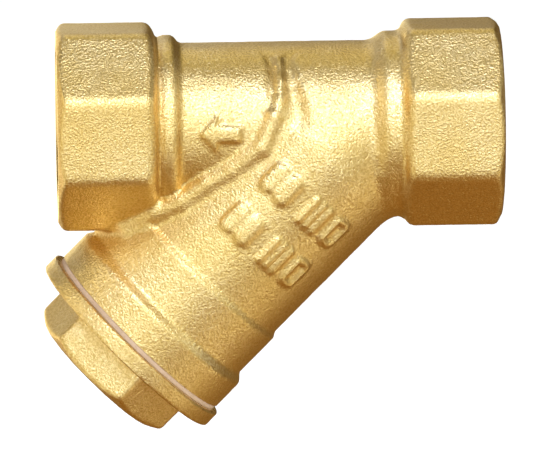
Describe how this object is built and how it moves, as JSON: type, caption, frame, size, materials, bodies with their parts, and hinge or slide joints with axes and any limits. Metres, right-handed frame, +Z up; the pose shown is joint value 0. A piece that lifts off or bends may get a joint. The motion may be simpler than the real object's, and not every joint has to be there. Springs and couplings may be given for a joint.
{
  "type": "y strainer",
  "caption": "Threaded Y-pattern strainer with octagonal wrench ends, a slanted screen branch and a hexagonal screw cap over a perforated basket.",
  "frame": {"origin": "centre of the inlet mouth, in the plane of the inlet's end face", "axes": "+X along the pipe run, out of the inlet; +Z up; the screen branch leans down and towards the outlet, in the XZ plane"},
  "size_m": [0.0575, 0.0284, 0.0508],
  "materials": {
    "cast_brass": "sandblasted casting with machined threads and mouth faces",
    "cap_brass": "sandblasted head and flange with a machined plug",
    "gasket_fibre": "flat tan fibre sheet",
    "screen_steel": "rolled perforated sheet",
    "mesh_steel": "woven wire cloth"
  },
  "bodies": {
    "body": {"body": "cast_brass"},
    "screen": {"screen_support": "screen_steel", "screen_mesh": "mesh_steel", "screen_seat_rim": "screen_steel", "screen_cap_rim": "screen_steel"},
    "gasket": {"cap_gasket": "gasket_fibre"},
    "cap": {"cap": "cap_brass"}
  },
  "joints": [
    {"name": "pull_out", "type": "slide", "parent": "body", "child": "screen", "axis": [-0.7071, 0, -0.7071], "range_m": [0, 0.055]},
    {"name": "cap_advance", "type": "slide", "parent": "screen", "child": "gasket", "axis": [-0.7071, 0, -0.7071], "range_m": [0, 0.00801]},
    {"name": "cap_turn", "type": "hinge", "parent": "gasket", "child": "cap", "pos_m": [-0.01845, 0, 0.0007], "axis": [-0.7071, 0, -0.7071], "range_deg": [0, 1920]}
  ],
  "couplings": [
    {"joint": "cap_advance", "follows": "cap_turn", "m_per_rad": 0.00023873}
  ]
}
